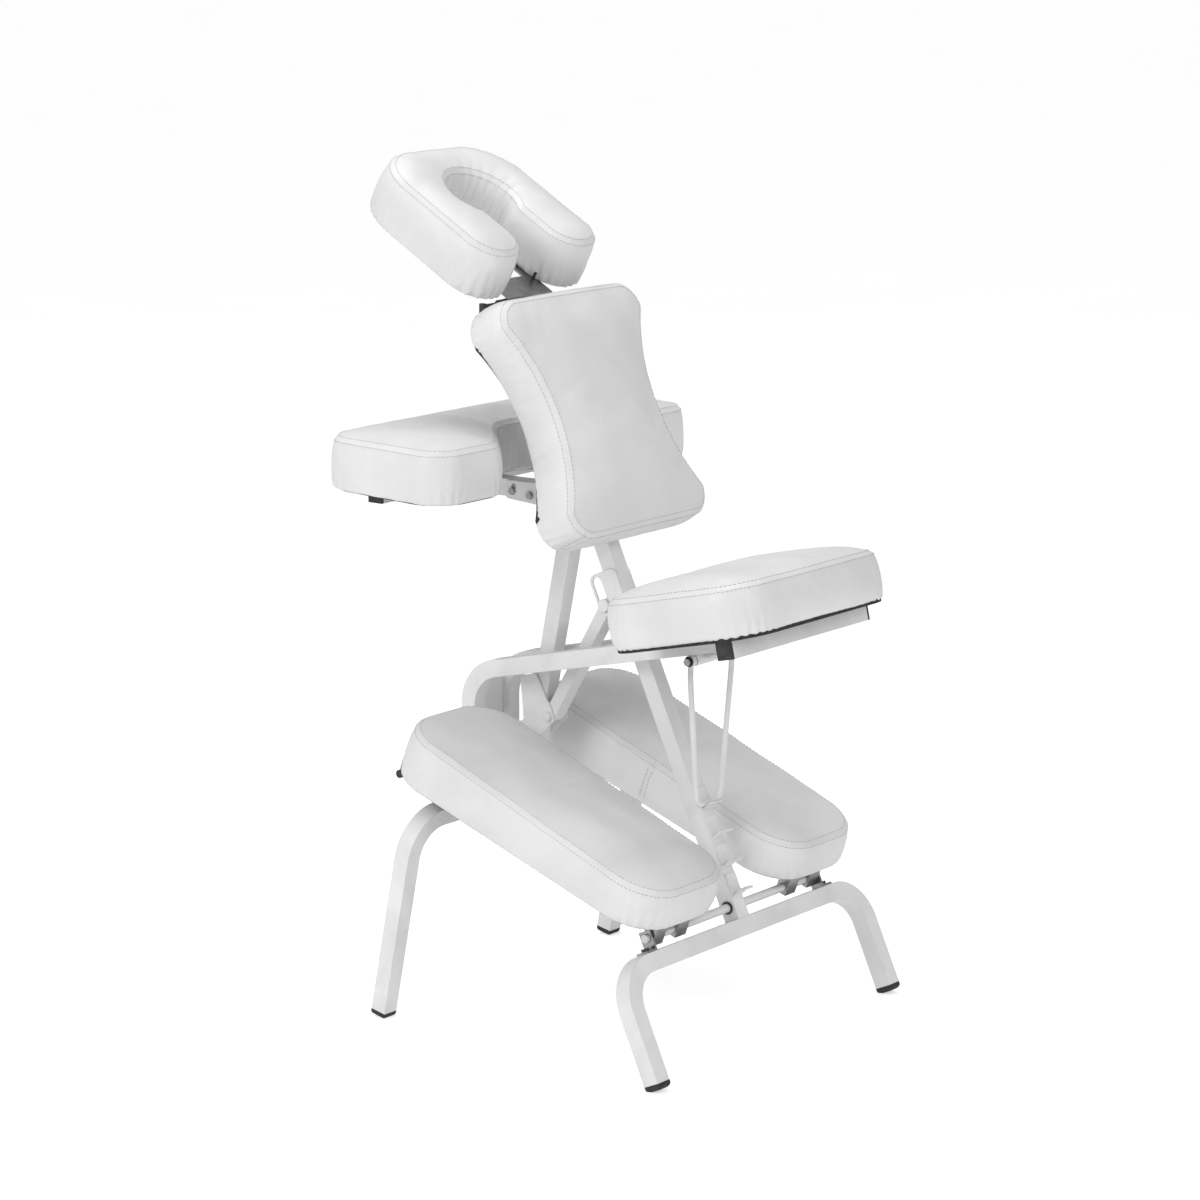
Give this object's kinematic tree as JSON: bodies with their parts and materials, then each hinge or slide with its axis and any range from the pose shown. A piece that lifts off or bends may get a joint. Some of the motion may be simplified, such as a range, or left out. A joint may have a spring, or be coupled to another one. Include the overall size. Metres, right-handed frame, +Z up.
{
  "type": "kneeling massage chair",
  "caption": "Kneeling massage chair: steel tube A-frame with padded seat, knee rests, chest pad, armrest and tilting face cradle.",
  "frame": {"origin": "on the floor, at the middle of the chair's outline seen from above", "axes": "+X to the sitter's right, +Y the way the sitter faces, +Z up"},
  "size_m": [0.5692, 0.7294, 1.1982],
  "materials": {
    "white_frame": "satin",
    "white_vinyl": "satin",
    "plywood": "matt",
    "black_rubber": "satin",
    "black_plastic": "matt",
    "zinc_plated_steel": "satin",
    "black_steel": "satin"
  },
  "bodies": {
    "rear_frame": {"rear_leg_frame": "white_frame", "rear_feet": "black_rubber", "rear_post": "white_frame", "post_bush": "black_plastic", "height_hooks": "white_frame", "rear_rod": "white_frame", "rod_brackets": "zinc_plated_steel", "rod_bracket_bolts": "black_steel", "upper_plate_left": "white_frame", "upper_plate_right": "white_frame", "mast_pivot_bolt": "white_frame", "strut_channel": "white_frame", "chest_mount": "zinc_plated_steel", "chest_board": "plywood", "chest_screws": "black_steel", "chest_cushion": "white_vinyl"},
    "front_frame": {"front_leg_frame": "white_frame", "front_feet": "black_rubber", "mast": "white_frame", "front_bracket": "white_frame", "front_rod": "white_frame", "front_rod_plugs": "black_plastic", "strut_bolt": "white_frame"},
    "strut": {"strut": "white_frame", "strut_pin": "white_frame"},
    "seat": {"seat_rail_left": "white_frame", "seat_rail_right": "white_frame", "rail_tie": "white_frame", "seat_cross_tube": "white_frame", "seat_cross_caps": "black_plastic", "prop_axle": "white_frame", "prop_bolt": "zinc_plated_steel", "prop_washers": "black_plastic", "seat_board": "plywood", "seat_screws": "black_steel", "seat_cushion": "white_vinyl"},
    "prop": {"prop": "white_frame"},
    "knee_rest_left": {"knee_board_left": "plywood", "knee_cushion_left": "white_vinyl", "knee_clips_left": "zinc_plated_steel", "knee_screws_left": "black_steel"},
    "knee_rest_right": {"knee_board_right": "plywood", "knee_cushion_right": "white_vinyl", "knee_clips_right": "zinc_plated_steel", "knee_screws_right": "black_steel"},
    "armrest": {"arm_tube": "white_frame", "arm_bolts": "zinc_plated_steel", "arm_cross_tube": "white_frame", "arm_cross_caps": "black_plastic", "arm_screws": "black_steel", "arm_board": "plywood", "arm_cushion": "white_vinyl"},
    "cradle_stem": {"cradle_stem": "zinc_plated_steel"},
    "face_cradle": {"cradle_base": "zinc_plated_steel", "cradle_sleeves": "black_plastic", "cradle_bolt": "zinc_plated_steel", "cradle_board": "plywood", "cradle_screws": "black_steel", "cradle_cushion": "white_vinyl"},
    "cradle_lever": {"cradle_lever": "black_steel"}
  },
  "joints": [
    {"name": "frame_fold", "type": "hinge", "parent": "rear_frame", "child": "front_frame", "pos_m": [0, 0.0638, 0.7135], "axis": [1, 0, 0], "range_deg": [-15, 0]},
    {"name": "strut_swing", "type": "hinge", "parent": "front_frame", "child": "strut", "pos_m": [0, 0.1035, 0.4031], "axis": [1, 0, 0], "range_deg": [-14, 0]},
    {"name": "knee_left_swing", "type": "hinge", "parent": "rear_frame", "child": "knee_rest_left", "pos_m": [0, -0.212, 0.1775], "axis": [1, 0, 0], "range_deg": [0, 18]},
    {"name": "knee_right_swing", "type": "hinge", "parent": "rear_frame", "child": "knee_rest_right", "pos_m": [0, -0.212, 0.1775], "axis": [1, 0, 0], "range_deg": [0, 18]},
    {"name": "seat_lift", "type": "hinge", "parent": "rear_frame", "child": "seat", "pos_m": [0, 0.2194, 0.338], "axis": [1, 0, 0], "range_deg": [-9, 0]},
    {"name": "prop_swing", "type": "hinge", "parent": "seat", "child": "prop", "pos_m": [0, -0.1726, 0.527], "axis": [1, 0, 0], "range_deg": [-10, 0]},
    {"name": "armrest_tilt", "type": "hinge", "parent": "rear_frame", "child": "armrest", "pos_m": [0, 0.1344, 0.717], "axis": [1, 0, 0], "range_deg": [0, 14]},
    {"name": "cradle_height", "type": "slide", "parent": "rear_frame", "child": "cradle_stem", "axis": [0, 0.4179, 0.9085], "range_m": [0, 0.08]},
    {"name": "cradle_tilt", "type": "hinge", "parent": "cradle_stem", "child": "face_cradle", "pos_m": [0, 0.16104, 0.98846], "axis": [1, 0, 0], "range_deg": [-35, 25]},
    {"name": "cradle_lever_turn", "type": "hinge", "parent": "face_cradle", "child": "cradle_lever", "pos_m": [0, 0.16104, 0.98846], "axis": [1, 0, 0], "range_deg": [0, 60]}
  ],
  "couplings": [
    {"joint": "strut_swing", "follows": "frame_fold", "ratio": 0.9},
    {"joint": "knee_left_swing", "follows": "frame_fold", "ratio": -1.15},
    {"joint": "knee_right_swing", "follows": "frame_fold", "ratio": -1.15},
    {"joint": "prop_swing", "follows": "seat_lift", "ratio": 1}
  ]
}
